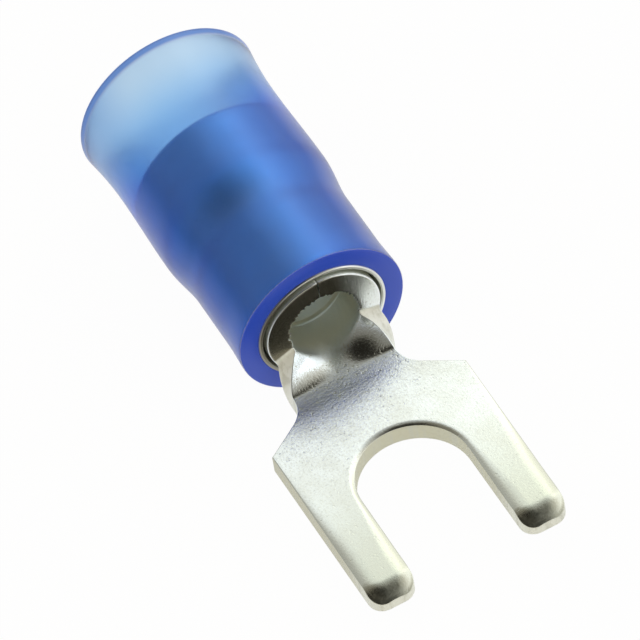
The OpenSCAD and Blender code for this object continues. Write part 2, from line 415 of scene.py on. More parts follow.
def tin_tone(tree, finish, place, grain, rubbed, cut):
    """Colour of the tin, by the place on the sheet, its wear and its cut edges, with painted light and shade.
    """
    x, y, _ = axes(tree, place)
    facing_x, facing_y, _ = facing(tree)
    # Towards the tips the tin turns darker: painted shade on the arms
    tone = blend(tree, spread(tree, x, *ARM_SHADE_RUN), finish.tin, finish.tin_arm_shaded)
    clouded = spread(tree, noise(tree, place, CLOUD_SCALE), 0.35, 0.7, 0.0, 0.35)
    grained = spread(tree, grain, 0.45, 0.75, 0.0, 0.4)
    for share in (clouded, grained, rubbed):
        tone = blend(tree, share, tone, finish.tin_dull)
    # Inside the bore the tin turns lighter and warmer and loses its dull cloud: painted light
    tone = blend(tree, spread(tree, x, *BORE_RUN), tone, finish.tin_bore_lit)
    # Edges that lean sideways on the fork turn darker: painted shade on the rolls
    leaning = spread(tree, maths(tree, "ABSOLUTE", facing_y), 0.06, 0.35, 0.0, 0.8)
    rolled = times(tree, leaning, spread(tree, x, *ROLL_SHADE_RUN))
    tone = blend(tree, rolled, tone, finish.tin_worn_and_shade)
    # The barrel's front face turns dark, save on its right side: sheared metal and painted shade
    sheared_and_shade = times(tree, spread(tree, facing_x, 0.85, 0.95), spread(tree, x, *FACE_SHADE_RUN, 1.0, 0.0))
    sheared_and_shade = times(tree, sheared_and_shade, spread(tree, y, *FACE_SHADE_SIDE, 1.0, 0.0))
    tone = blend(tree, sheared_and_shade, tone, finish.sheared_and_shade)
    # Cut faces along the fork take the darker worn tone, which thins out towards the tips so that their cut
    # faces turn lighter: painted highlight
    fork = times(tree, spread(tree, x, *FORK_RUN), spread(tree, x, *TIP_HIGHLIGHT_RUN, 1.0, 0.2))
    edge = blend(tree, fork, finish.tin_cut, finish.tin_worn_and_shade)
    drawn = noise(tree, stretched(tree, place, STREAK_STRETCH), STREAK_SCALE, 3.0)
    edge = blend(tree, spread(tree, drawn, 0.45, 0.7, 0.0, 0.7), edge, finish.tin_dull)
    return blend(tree, cut, tone, edge)


def tin_roughness(tree, place, grain, cut):
    """Roughness of the tin, which is matt in the bore, on its cut edges and at the tips."""
    x, facing_x = axes(tree, place)[0], facing(tree)[0]
    matt = times(tree, spread(tree, x, *MATT_BORE_RUN, 0.0, 0.3),
                 spread(tree, facing_x, 0.4, 0.7, 1.0, 0.0))
    matt = maths(tree, "MAXIMUM", matt, times(tree, cut, 0.4))
    matt = plus(tree, matt, spread(tree, x, *TIP_RUN, 0.0, 0.15))
    return plus(tree, spread(tree, grain, 0.25, 0.75, 0.15, 0.25), matt)


def tongue_fall(tree, x):
    """Height of the tongue, which still falls a little past the bend, less and less up to the slot."""
    onset = spread(tree, x, *FALL_ONSET, kind="LINEAR")
    fall = times(tree, times(tree, onset, onset), FALL_SET_IN)
    for end, deep in FALL_PARTS:
        run = spread(tree, x, FALL_ONSET[1], end, 1.0, 0.0, "LINEAR")
        fall = plus(tree, fall, times(tree, times(tree, run, run), deep))
    return fall


def tin_plate(finish):
    """Tin plate on the sheet: satin, finely grained, rubbed where the press bent it."""
    material, tree, place = new_tree("tin_plate")
    x = axes(tree, place)[0]
    cut = add(tree, "ShaderNodeAttribute", attribute_name="cut").outputs["Fac"]
    grain = noise(tree, place, GRAIN_SCALE, 3.0)
    pits = spread(tree, noise(tree, place, PIT_SCALE, 2.0), 0.62, 0.74)
    bent = spread(tree, x, *BENT_RUN)
    rubbed = times(tree, pits, spread(tree, bent, 0.0, 1.0, 0.18, 0.85))
    slope = raised(tree, 1.0, 1.0, Height=tongue_fall(tree, x))
    height = plus(tree, grain, times(tree, pits, -0.8))
    rough = times(tree, bent, spread(tree, x, *ROUGH_RUN))
    height = times(tree, height, spread(tree, rough, 0.0, 1.0, 1.0, 2.0))
    shader = add(tree, "ShaderNodeBsdfPrincipled",
                 Base_Color=tin_tone(tree, finish, place, grain, rubbed, cut),
                 Metallic=spread(tree, cut, 0.0, 1.0, 1.0, 0.4),
                 Roughness=tin_roughness(tree, place, grain, cut),
                 Normal=raised(tree, 0.3, TIN_BUMP, Height=height, Normal=slope))
    add(tree, "ShaderNodeOutputMaterial", Surface=shader)
    return material


def sleeve_plate(finish):
    """Plate on the drawn sleeve: fine lines round it from the drawing, and its front-facing faces darker
    towards -Y.
    """
    material, tree, place = new_tree("sleeve_plate")
    y, facing_x = axes(tree, place)[1], facing(tree)[0]
    lines = noise(tree, stretched(tree, place, LINE_STRETCH), LINE_SCALE)
    clouded = spread(tree, noise(tree, place, LINE_CLOUD_SCALE, 3.0), 0.3, 0.7, 0.0, 0.25)
    tone = blend(tree, clouded, finish.sleeve, finish.tin_dull)
    # The sleeve's front-facing faces turn darker towards -Y
    rim_darkening = times(tree, spread(tree, y, *RIM_DARK_SIDE), spread(tree, facing_x, 0.05, 0.5))
    shader = add(tree, "ShaderNodeBsdfPrincipled", Metallic=1.0,
                 Base_Color=blend(tree, rim_darkening, tone, finish.sheared_and_shade),
                 Roughness=spread(tree, lines, 0.3, 0.7, 0.28, 0.34),
                 Normal=raised(tree, 0.025, TIN_BUMP, Height=lines))
    add(tree, "ShaderNodeOutputMaterial", Surface=shader)
    return material


def clear_nylon(finish, lip_radius):
    """Clear blue nylon: tinted by its depth, frosted at its ends, with a faintly uneven skin."""
    material, tree, place = new_tree("clear_nylon")
    x, y, _ = axes(tree, place)
    cloud = noise(tree, place, SKIN_SCALE, 3.0)
    fine = noise(tree, place, FINE_SKIN_SCALE, 3.0)
    front = spread(tree, x, *FRONT_RUN)
    mouth = spread(tree, x, *MOUTH_RUN)
    across = vector_maths(tree, "MULTIPLY", place, (0.0, 1.0, 1.0))[0]
    reach = vector_maths(tree, "LENGTH", across)["Value"]
    lip = times(tree, spread(tree, x, *LIP_RUN),
                spread(tree, reach, *(lip_radius - inset for inset in LIP_INSETS)))
    paler = [SKIN_PALER * c for c in finish.nylon]
    body = blend(tree, spread(tree, cloud, 0.3, 0.7), finish.nylon, paler)
    body = blend(tree, mouth, body, finish.nylon_mouth)
    # The mouth's left side takes a darker tint: painted shade
    shaded = times(tree, mouth, spread(tree, y, *SHADED_SIDE))
    body = blend(tree, shaded, body, finish.nylon_painted_shade)
    body = blend(tree, lip, body, finish.nylon_lip)
    frosted = maths(tree, "MAXIMUM", front, lip)
    skin = plus(tree, cloud, times(tree, fine, 0.25))
    shader = add(tree, "ShaderNodeBsdfPrincipled", **NYLON_OPTICS,
                 Base_Color=blend(tree, front, body, finish.nylon_end),
                 Transmission_Weight=spread(tree, frosted, 0.0, 1.0, 1.0, 0.2),
                 Roughness=spread(tree, fine, 0.3, 0.7, *SKIN_ROUGHNESS),
                 Normal=raised(tree, 0.012, NYLON_BUMP, Height=skin))
    depth = add(tree, "ShaderNodeVolumeAbsorption", Density=DEPTH_DENSITY, Color=(*finish.nylon_depth, 1.0))
    add(tree, "ShaderNodeOutputMaterial", Surface=shader, Volume=depth)
    return material


# The stamped sheet

class SheetForm:
    """The flat blank of the sheet, and where bending takes each point of it."""

    def __init__(self, sheet):
        self.half = sheet.stock / 2
        self.mid = sheet.bore + self.half
        self.front = sheet.reach
        self.back = sheet.reach - sheet.barrel
        self.neck = sheet.neck
        self.bend = sheet.reach + sheet.neck
        self.drop = sheet.drop
        self.join = sheet.reach + sheet.neck + RIM_STRIP

    def opened(self, u):
        """How far the barrel's curve has opened at a place along the sheet."""
        return soft_ramp((u - self.front) / self.neck, *OPEN_EASE)

    def fallen(self, u):
        """How far the neck's floor has fallen to the fork's."""
        return soft_ramp((u - self.front) / self.neck, *FALL_EASE)

    def bell(self, u, w, h):
        """How much further the upper side has fallen near the middle of the bore's mouth."""
        if abs(w) >= BELL_HALF or h <= 0.0:
            return 0.0
        run = (u - self.front + BELL_LENGTH) / (self.neck + BELL_LENGTH)
        share = math.cos(math.pi / 2 * w / BELL_HALF) ** 2 * min(1.0, h / self.half)
        return share * (soft_ramp(run, *BELL_EASE) - self.fallen(u))

    def at(self, u, w, h):
        """The place of a point, in millimetres: along the sheet, across it and up from its middle."""
        e = self.opened(u)
        floor = -(self.mid + (self.fallen(u) + self.bell(u, w, h)) * self.drop)
        if e > FLAT_SHARE:
            return Vector((u, w, floor + h)) / MM
        r = self.mid / (1.0 - e)
        a = w / r
        return Vector((u, (r - h) * math.sin(a), floor + r - (r - h) * math.cos(a))) / MM


class Rim:
    """One place on the sheet's cut edge: its point, the way in, and the roll of its upper side."""

    def __init__(self, point, inward, width=PLAIN_RIM, drop=0.0, burr=0.0, edge=EDGE_ROUND,
                 cut=1.0, dome=None):
        self.point = Vector(point)
        self.inward = Vector(inward)
        self.width = width
        self.drop = drop
        self.burr = burr
        self.edge = edge
        self.cut = cut
        self.dome = dome

    def mirrored(self):
        return Rim((self.point.x, -self.point.y), (self.inward.x, -self.inward.y),
                   self.width, self.drop, dome=self.dome)

    def sunk(self, inset):
        """How far the roll has sunk at a distance in from the edge."""
        if self.dome:
            spot = self.point + self.inward * inset
            return self.dome(spot.x, abs(spot.y))
        return self.drop * max(0.0, 1.0 - inset / self.width) ** ROLL_POWER

    def strip(self, half):
        """Points (along, across, up) from the upper face over the edge to the lower face."""
        edge = self.edge
        rows = [(self.width + RIM_STRIP, half)]
        for q in RIM_SHARES:
            inset = edge + (self.width - edge) * q
            rows.append((inset, half - self.sunk(inset) + self.burr * (1.0 - q)))
        brink = half - self.sunk(edge) + self.burr
        high, low = brink - edge, edge - half
        rows.append((EDGE_SHARE * edge, brink - EDGE_SHARE * edge))
        rows += [(0.0, high + (low - high) * q) for q in CUT_SHARES]
        rows += [(EDGE_SHARE * edge, EDGE_SHARE * edge - half), (edge, -half), (PLAIN_RIM + RIM_STRIP, -half)]
        return [(*(self.point + self.inward * inset), up) for inset, up in rows]


def turn(angle):
    return Vector((math.cos(angle), math.sin(angle)))


def steps(first, last, count):
    """Values after first, up to last."""
    return [first + (last - first) * i / count for i in range(1, count + 1)]


def neck_rims(sheet, form, lean):
    """The right edge of the neck, from the notch to a little past the bend."""
    half, notch, fillet = sheet.neck_width / 2, sheet.notch, sheet.fillet
    centre = Vector((form.front + notch, half + notch))
    rims = []
    for angle in [0.0] + steps(0.0, math.pi / 2, NOTCH_STEPS):
        rims.append(Rim(centre - notch * turn(angle), -turn(angle)))
    for u in steps(form.front + notch, form.bend, NECK_STEPS):
        rims.append(Rim((u, half), (0.0, -1.0)))
    rims.append(fillet_rim(sheet, form, math.asin((form.join - form.bend) / fillet)))
    for rim in rims:
        rim.point.y += lean * (1.0 - ease((rim.point.x - form.front) / form.neck))
    return rims


def fillet_rim(sheet, form, angle):
    """A place on the fillet at the foot of the right shoulder."""
    way = Vector((math.sin(angle), -math.cos(angle)))
    return Rim(Vector((form.bend, sheet.neck_width / 2 + sheet.fillet)) + sheet.fillet * way, way)


def fork_rims(sheet, form):
    """The right edge of the fork, from past the bend to the middle of the slot."""
    wide, slot, corner = sheet.width / 2, sheet.slot / 2, sheet.tip_corner
    roll, depth, nose = sheet.roll_width, sheet.roll_depth, sheet.tip_nose
    slope, inner = sheet.shoulder, FLAT_CORNER
    start = math.asin((form.join - form.bend) / sheet.fillet)
    rims = [fillet_rim(sheet, form, a) for a in steps(start, slope, FILLET_STEPS)]
    way = Vector((math.sin(slope), -math.cos(slope)))
    foot = rims[-1].point
    rise = wide - foot.y
    brow = Vector((foot.x + rise / math.tan(slope), wide))
    rims += [Rim(foot.lerp(brow, q), way) for q in (0.33, 0.66, 0.92)]
    mitre = (way + Vector((0.0, -1.0))) / (1.0 + way.dot(Vector((0.0, -1.0))))
    rims.append(Rim(brow, mitre))
    slot_x = brow.x + sheet.web
    tip = slot_x + sheet.slot_depth
    # The arm's outer edge, whose roll grows from the shoulder to the tip
    bend_in = nose + inner
    roll_end = tip - bend_in
    for x in steps(brow.x, roll_end, ARM_STEPS):
        q = min(1.0, ROLL_GROWTH * (x - brow.x) / (roll_end - brow.x))
        rims.append(Rim((x, wide), (0.0, -1.0), PLAIN_RIM + (roll - PLAIN_RIM) * q,
                        depth * q * (0.4 + 0.6 * q)))
    # The tip, whose flat ends in a small corner inside the nose
    straight = bend_in - corner
    around = straight + corner * math.pi / 2
    outside = []
    for s in steps(0.0, around, TIP_STEPS):
        a = math.pi / 2 - max(0.0, s - straight) / corner
        point = Vector((roll_end + s, wide)) if s < straight else (
            Vector((tip - corner, wide - corner)) + corner * turn(a))
        flat_end = Vector((roll_end, wide - roll - inner)) + inner * turn(math.pi / 2 * (1.0 - s / around))
        outside.append((point, flat_end))
    middle = (wide + slot) / 2
    inside = [(Vector((p.x, 2 * middle - p.y)), Vector((f.x, 2 * middle - f.y)))
              for p, f in reversed(outside)]
    between = [(outside[-1][0].lerp(inside[0][0], q), outside[-1][1].lerp(inside[0][1], q))
               for q in (0.25, 0.5, 0.75)]
    arm = (wide - slot) / 2

    def dome(x, y):
        """How far the tip's upper side has sunk."""
        fore = max(0.0, 1.0 - (tip - x) / nose)
        side = max(0.0, 1.0 - (arm - abs(y - middle)) / (roll + (arm - roll) * fore))
        deep = depth + (sheet.tip_side - depth) * ease((x - roll_end) / bend_in)
        return sheet.tip_drop * fore ** ROLL_POWER + deep * side ** ROLL_POWER

    for point, flat_end in outside + between + inside:
        way_in = flat_end - point
        rims.append(Rim(point, way_in.normalized(), way_in.length, dome=dome))
    # The slot's side, whose roll narrows to that of the round base
    centre = Vector((slot_x + slot, 0.0))
    base_roll, base_depth = sheet.slot_roll, SLOT_ROLL_SINK * sheet.slot_roll
    for x in steps(roll_end, centre.x, SLOT_STEPS):
        q = min(1.0, ROLL_GROWTH * (x - centre.x) / (roll_end - centre.x))
        rims.append(Rim((x, slot), (0.0, 1.0), base_roll + (roll - base_roll) * q,
                        base_depth + (depth - base_depth) * q))
    for a in steps(math.pi / 2, math.pi, BASE_STEPS):
        rims.append(Rim(centre + slot * turn(a), turn(a), base_roll, base_depth))
    return rims


def groove_fronts(sheet, form):
    """The front edge of each grip groove."""
    return [form.front - sheet.groove_start - i * sheet.groove_pitch for i in range(sheet.grooves)]


def groove_sink(sheet, form, u):
    """Depth of a grip groove at a place along the bore."""
    for first in groove_fronts(sheet, form):
        q = (first - u) / sheet.groove_width
        if 0.0 < q < 1.0:
            return sheet.groove_depth * min(1.0, GROOVE_SLOPE * min(q, 1.0 - q))
    return 0.0


def barrel_rows(sheet, form):
    """Places along the barrel for its rows of points, rear first."""
    low = form.back + sheet.lead + RIM_STRIP
    high = form.front - PLAIN_RIM - RIM_STRIP
    rows = [low + (high - low) * i / BARREL_ROWS for i in range(BARREL_ROWS + 1)]
    marks = [first - sheet.groove_width * q for first in groove_fronts(sheet, form) for q in GROOVE_SHARES]
    kept = [u for u in rows if all(abs(u - m) > ROW_CLEARANCE for m in marks) or u in (low, high)]
    return sorted(kept + marks)


def sheet_mesh(sheet):
    """One closed mesh of the barrel, the neck and the fork."""
    form = SheetForm(sheet)
    neck, neck_left = neck_rims(sheet, form, NECK_LEAN), neck_rims(sheet, form, 0.0)
    right = fork_rims(sheet, form)
    burr = random.Random(BURR_SEED)
    seam = math.pi * form.mid - sheet.seam / 2
    inset = PLAIN_RIM + RIM_STRIP

    # Columns across the blank: the neck's own, and the barrel's on each side of them
    middle, side = NECK_COLUMNS, SIDE_COLUMNS
    edge, edge_left = neck[0].point.y, neck_left[0].point.y
    centre = [-edge_left] + steps(-edge_left, edge, middle)
    left = [-w for w in reversed(steps(edge_left, seam - inset, side))]
    across = left + centre + steps(edge, seam - inset, side)
    first, last, count = side, side + middle, len(across)
    rows = barrel_rows(sheet, form)
    top_row = len(rows) - 1

    # The whole cut edge as one loop, with the loop's index of each place on the grid's border
    loop, border = [], {}

    def place(rim, *keys):
        for key in keys:
            border[key] = len(loop)
        loop.append(rim)

    def place_front(columns):
        """Places the barrel's front edge, with its burrs."""
        for c in columns:
            high = max(0.0, burr.uniform(*BURR_RANGE)) * MM
            place(Rim((form.front, across[c]), (-1, 0), burr=high, cut=0.0), ("barrel", top_row, c))

    def place_seam(r, c, u, w, inward):
        """Places a point of the seam's edge."""
        place(Rim((u, w), inward, edge=SEAM_EDGE, cut=0.0), ("barrel", r, c))

    for k, rim in enumerate(neck):
        place(rim, ("neck", k, last), *([("barrel", top_row, last)] if k == 0 else []))
    for rim in right + [r.mirrored() for r in reversed(right[:-1])]:
        place(rim)
    for k in range(len(neck) - 1, -1, -1):
        keys = [("neck", k, first)] + ([("barrel", top_row, first)] if k == 0 else [])
        place(neck_left[k].mirrored(), *keys)
    place_front(range(first - 1, 0, -1))
    place_seam(top_row, 0, form.front, -seam, (-1, 1))
    for r in range(top_row - 1, 0, -1):
        place_seam(r, 0, rows[r], -seam, (0, 1))
    lead, skew = sheet.lead, PLAIN_RIM / sheet.lead
    place(Rim((form.back, -seam), (1, skew), lead, lead), ("barrel", 0, 0))
    for c in range(1, count - 1):
        place(Rim((form.back, across[c]), (1, 0), lead, lead), ("barrel", 0, c))
    place(Rim((form.back, seam), (1, -skew), lead, lead), ("barrel", 0, count - 1))
    for r in range(1, top_row):
        place_seam(r, count - 1, rows[r], seam, (0, -1))
    place_seam(top_row, count - 1, form.front, seam, (-1, -1))
    place_front(range(count - 2, last, -1))

    build = bmesh.new()
    cut = build.verts.layers.float.new("cut")
    strips = [[build.verts.new(form.at(*p)) for p in rim.strip(form.half)] for rim in loop]
    for rim, strip in zip(loop, strips):
        for vert in strip[CUT_ROWS]:
            vert[cut] = rim.cut
    for one, two in zip(strips, strips[1:] + strips[:1]):
        for k in range(len(one) - 1):
            build.faces.new((one[k], two[k], two[k + 1], one[k + 1]))

    def face_of_sheet(level):
        """The upper (0) or lower (-1) face of the sheet, inside the edge."""
        up = form.half if level == 0 else -form.half
        made = {}

        def vert(part, r, c):
            if part == "neck" and r == 0:
                part, r = "barrel", top_row
            key = (part, r, c)
            if key in border:
                return strips[border[key]][level]
            if key not in made:
                if part == "barrel":
                    u, w = rows[r], across[c]
                    h = up - (groove_sink(sheet, form, u) if level == 0 else 0.0)
                else:
                    on_right = across[c] > 0.0
                    rim, wide = (neck[r], edge) if on_right else (neck_left[r], edge_left)
                    spot = rim.point + rim.inward * inset
                    u, w, h = spot.x, spot.y * across[c] / wide, up
                made[key] = build.verts.new(form.at(u, w, h))
            return made[key]

        def quads(part, r_range, c_range):
            for r in r_range:
                for c in c_range:
                    build.faces.new((vert(part, r, c), vert(part, r, c + 1),
                                     vert(part, r + 1, c + 1), vert(part, r + 1, c)))

        quads("barrel", range(top_row), range(count - 1))
        quads("neck", range(len(neck) - 1), range(first, last))
        end = len(neck) - 1
        bend = [vert("neck", end, c) for c in range(first, last + 1)]
        past_bend = range(border["neck", end, last] + 1, border["neck", end, first])
        flat = bend + [strips[i][level] for i in past_bend]
        spots = [v.co.xy for v in flat]
        _, _, faces, origins, _, _ = delaunay_2d_cdt(spots, [], [list(range(len(flat)))], 1, SAME_POINT)
        for corners in faces:
            build.faces.new([flat[origins[c][0]] for c in corners])

    face_of_sheet(0)
    face_of_sheet(-1)
    bmesh.ops.scale(build, vec=(MM, MM, MM), verts=build.verts[:])
    return finish_mesh(build, "terminal")


def finish_mesh(build, name):
    """Closes a bmesh as a smooth mesh with its faces outwards, and stops if it is open."""
    bmesh.ops.recalc_face_normals(build, faces=build.faces[:])
    if build.calc_volume(signed=True) < 0.0:
        bmesh.ops.reverse_faces(build, faces=build.faces[:])
    gaps = [e for e in build.edges if not e.is_manifold]
    if gaps:
        raise RuntimeError(f"{name} has {len(gaps)} open edges")
    for face in build.faces:
        face.smooth = True
    for edge in build.edges:
        edge.smooth = edge.calc_face_angle() < SHARP
    mesh = bpy.data.meshes.new(name)
    build.to_mesh(mesh)
    build.free()
    return mesh


# The turned pieces

def step_rise(sleeve, x):
    return sleeve.step * ease((-sleeve.step_start - x) / sleeve.step_length)


def sleeve_out(sleeve, x):
    """Outside radius of the grip sleeve."""
    rim = sleeve.rim_flare * ease((x - sleeve.reach + sleeve.rim_length) / sleeve.rim_length)
    return sleeve.radius + step_rise(sleeve, x) + rim


def insulator_out(body, sleeve, x):
    """Outside radius of the insulator."""
    flare_start = body.flare_length - body.length
    step_end = -sleeve.step_start - sleeve.step_length
    r = sleeve.radius + body.wall + step_rise(sleeve, x)
    r += body.swell * ease((x + body.swell_length) / body.swell_length)
    r -= body.taper * ease((step_end - x) / (step_end - flare_start))
    return r + body.flare * max(0.0, (flare_start - x) / body.flare_length) ** 2


def insulator_in(body, sleeve, x):
    """Inside radius of the insulator: the sleeve's seat, then the funnel of the mouth."""
    seat_end = sleeve.reach - sleeve.length
    if x >= seat_end:
        return sleeve_out(sleeve, x) - body.press
    seat = sleeve_out(sleeve, seat_end) - body.press
    mouth = insulator_out(body, sleeve, -body.length) - body.lip
    return seat + (mouth - seat) * ease((seat_end - x) / (body.length + seat_end))


def round_end(x, inner, outer, radius, way):
    """A rounded end of a wall at x, from the inner to the outer radius; way is -1 at the rear."""
    points = []
    for r_mid, turn_from in ((inner + radius, math.pi), (outer - radius, math.pi / 2)):
        for i in range(ROUND_STEPS + 1):
            a = turn_from - math.pi / 2 * i / ROUND_STEPS
            points.append((r_mid + radius * math.cos(a), x - way * radius * (1.0 - math.sin(a))))
    return points


def wall_profile(outside, inside, back, front, radius, count):
    """A closed profile of (radius, place) round a turned wall, with rounded ends."""
    rear, fore = back + radius, front - radius
    along = [rear + (fore - rear) * i / count for i in range(1, count)]
    points = round_end(back, inside(rear), outside(rear), radius, -1)
    points += [(outside(x), x) for x in along]
    points += list(reversed(round_end(front, inside(fore), outside(fore), radius, 1)))
    points += [(inside(x), x) for x in reversed(along)]
    return points


def lathe_tree():
    """Geometry nodes that turn a closed profile about the X axis."""
    tree = bpy.data.node_groups.new("turned_wall", "GeometryNodeTree")
    face = tree.interface
    inputs = (("Profile", "Geometry"), ("Segments", "Int"), ("Base Radius", "Float"), ("Finish", "Material"))
    for name, kind in inputs:
        face.new_socket(name, in_out="INPUT", socket_type="NodeSocket" + kind)
    face.new_socket("Mesh", in_out="OUTPUT", socket_type="NodeSocketGeometry")
    source = add(tree, "NodeGroupInput").outputs
    circle = add(tree, "GeometryNodeCurvePrimitiveCircle", mode="RADIUS",
                 Resolution=source["Segments"], Radius=source["Base Radius"])
    wall = add(tree, "GeometryNodeCurveToMesh", Curve=circle, Profile_Curve=source["Profile"])
    wall = add(tree, "GeometryNodeTransform", wall, Rotation=(0.0, -math.pi / 2, 0.0))
    wall = add(tree, "GeometryNodeSetShadeSmooth", wall)
    wall = add(tree, "GeometryNodeRealizeInstances", wall)
    wall = add(tree, "GeometryNodeSetMaterial", wall, Material=source["Finish"])
    add(tree, "NodeGroupOutput", wall)
    return tree


def turned_mesh(name, profile, segments, material):
    """Turns a profile about the X axis into a plain mesh."""
    base = 1.0 * MM
    curve = bpy.data.curves.new(name + "_profile", "CURVE")
    curve.dimensions = "3D"
    spline = curve.splines.new("POLY")
    spline.points.add(len(profile) - 1)
    for point, (r, x) in zip(spline.points, profile):
        point.co = (r - base, x, 0.0, 1.0)
    spline.use_cyclic_u = True
    holder = bpy.data.objects.new(name + "_profile", curve)
    bpy.context.scene.collection.objects.link(holder)
    tree = lathe_tree()
    modifier = holder.modifiers.new("turn", "NODES")
    modifier.node_group = tree
    values = {"Segments": segments, "Base Radius": base, "Finish": material}
    for item in tree.interface.items_tree:
        if item.in_out == "INPUT" and item.name in values:
            modifier[item.identifier] = values[item.name]
    shown = holder.evaluated_get(bpy.context.evaluated_depsgraph_get())
    turned = bpy.data.meshes.new_from_object(shown)
    holder.modifiers.remove(modifier)
    bpy.data.objects.remove(holder)
    bpy.data.curves.remove(curve)
    bpy.data.node_groups.remove(tree)
    build = bmesh.new()
    build.from_mesh(turned)
    bpy.data.meshes.remove(turned)
    return finish_mesh(build, name)


class FORK_OT_sheet(bpy.types.Operator):
    """Make the stamped and rolled sheet of the terminal"""
    bl_idname = "fork_terminal.sheet"
    bl_label = "Terminal sheet"

    def execute(self, context):
        scene = context.scene
        piece = link_piece("terminal_sheet", sheet_mesh(scene.fork_sheet), tin_plate(scene.fork_finish))
        dress(piece, "terminal")
        return {"FINISHED"}


class FORK_OT_sleeve(bpy.types.Operator):
    """Make the grip sleeve over the barrel"""
    bl_idname = "fork_terminal.sleeve"
    bl_label = "Grip sleeve"

    def execute(self, context):
        scene = context.scene
        sleeve = scene.fork_sleeve
        plate = sleeve_plate(scene.fork_finish)
        profile = wall_profile(lambda x: sleeve_out(sleeve, x),
                               lambda x: sleeve_out(sleeve, x) - sleeve.wall,
                               sleeve.reach - sleeve.length, sleeve.reach, SLEEVE_ROUND, SLEEVE_POINTS)
        mesh = turned_mesh("sleeve_tube", profile, sleeve.segments, plate)
        piece = link_piece("sleeve_tube", mesh, plate)
        dress(piece, "grip_sleeve")
        return {"FINISHED"}


class FORK_OT_insulator(bpy.types.Operator):
    """Make the nylon insulator"""
    bl_idname = "fork_terminal.insulator"
    bl_label = "Nylon insulator"

    def execute(self, context):
        scene = context.scene
        body, sleeve = scene.fork_insulator, scene.fork_sleeve
        nylon = clear_nylon(scene.fork_finish, insulator_out(body, sleeve, -body.length))
        profile = wall_profile(lambda x: insulator_out(body, sleeve, x),
                               lambda x: insulator_in(body, sleeve, x),
                               -body.length, 0.0, body.edge, BODY_POINTS)
        mesh = turned_mesh("nylon_body", profile, body.segments, nylon)
        piece = link_piece("nylon_body", mesh, nylon)
        dress(piece, "insulator")
        return {"FINISHED"}


# The studio

# The camera fitted to the photograph: its turn, its shift and its focus in pixels
CAMERA_TURN = Vector((2.2370884, 1.27422587, -0.56796957))
CAMERA_SHIFT = Vector((0.0647204, -0.02742794, 273.68144604)) * MM
CAMERA_FOCUS = 9000.0
# Ways to the softbox, its glow and the camera, and the middle of the floor's bright pool
SOFTBOX_WAY = Vector((-0.55, 0.45, 0.70))
GLOW_WAY = Vector((-0.46, 0.37, 0.81))
CAMERA_WAY = Vector((0.582, -0.215, 0.784))
POOL_SPOT = Vector((2.0, 8.0, 0.0)) * MM
# Angles, in degrees, over which the room darkens round the camera and glows round the softbox
DUSK_ANGLES = (68, 53)
HOOD_ANGLES = (42, 24)
GLOW_ANGLES = (42, 10)
# Levels left in the dusk and the hood, added by the bright wall, and seen by matt surfaces
DUSK_LEVEL, HOOD_LEVEL, WALL_LEVEL, MATT_LEVEL = 0.42, 0.06, 0.5, 0.85
# Where the bright wall starts, and where the room dims and rises
WALL_ALONG, WALL_ACROSS = (-0.45, -0.15), (0.26, 0.5)
DIM_ACROSS, DIM_SHARE = (-0.8, -0.1), 0.85
RISE_ACROSS, RISE_LEVEL = (0.3, 0.6), 0.3
# Colours of the softbox, the dark and the light part of the room, and the glow
LAMP_COLOUR = (1.0, 0.98, 0.74)
DARK_COLOUR = (1.0, 0.88, 0.64)
ROOM_COLOUR = (0.98, 0.99, 1.0)
GLOW_COLOUR = (1.0, 0.995, 0.93)
WHITE = (1.0, 1.0, 1.0, 1.0)
# The floor's painted pool of light: where it fades and its painted shade in front, and how white the camera
# sees the floor
POOL_FADE, POOL_LEVELS = mm(12.0, 50.0), (0.95, 0.4)
SHADE_FADE, SHADE_LEVELS = mm(-9.0, -1.5), (0.73, 1.0)
FLOOR_WHITE = 0.97


def stage_camera(scene):
    """The camera at the photograph's angle and distance."""
    data = bpy.data.cameras.new("studio_camera")
    data.sensor_fit = "HORIZONTAL"
    data.sensor_width = SENSOR_MM
    data.lens = CAMERA_FOCUS * SENSOR_MM / PHOTO_PIXELS
    data.clip_start, data.clip_end = 1.0 * MM, 10.0
    turned = Matrix.Rotation(CAMERA_TURN.length, 3, CAMERA_TURN.normalized())
    across, down, ahead = turned
    spot = -(turned.transposed() @ CAMERA_SHIFT)
    camera = bpy.data.objects.new("studio_camera", data)
    rows = [(across[i], -down[i], -ahead[i], spot[i]) for i in range(3)]
    camera.matrix_world = Matrix((*rows, (0.0, 0.0, 0.0, 1.0)))
    scene.collection.objects.link(camera)
    scene.camera = camera


def stage_lamp(scene, stage):
    """One large softbox behind and above the object."""
    data = bpy.data.lights.new("softbox", "AREA")
    data.shape = "RECTANGLE"
    data.size, data.size_y = stage.lamp_width, stage.lamp_height
    data.energy = stage.lamp_power
    data.color = LAMP_COLOUR
    lamp = bpy.data.objects.new("softbox", data)
    way = SOFTBOX_WAY.normalized()
    side = Vector((0.0, 1.0, 0.0))
    side = (side - side.dot(way) * way).normalized()
    turned = Matrix((side, way.cross(side), way)).transposed()
    lamp.matrix_world = Matrix.Translation(way * stage.lamp_distance) @ turned.to_4x4()
    scene.collection.objects.link(lamp)


def cone(tree, source, angles, outer, inner):
    """A level that changes from outer to inner between two angles round a way."""
    wide, narrow = (math.cos(math.radians(angle)) for angle in angles)
    return spread(tree, source, wide, narrow, outer, inner)


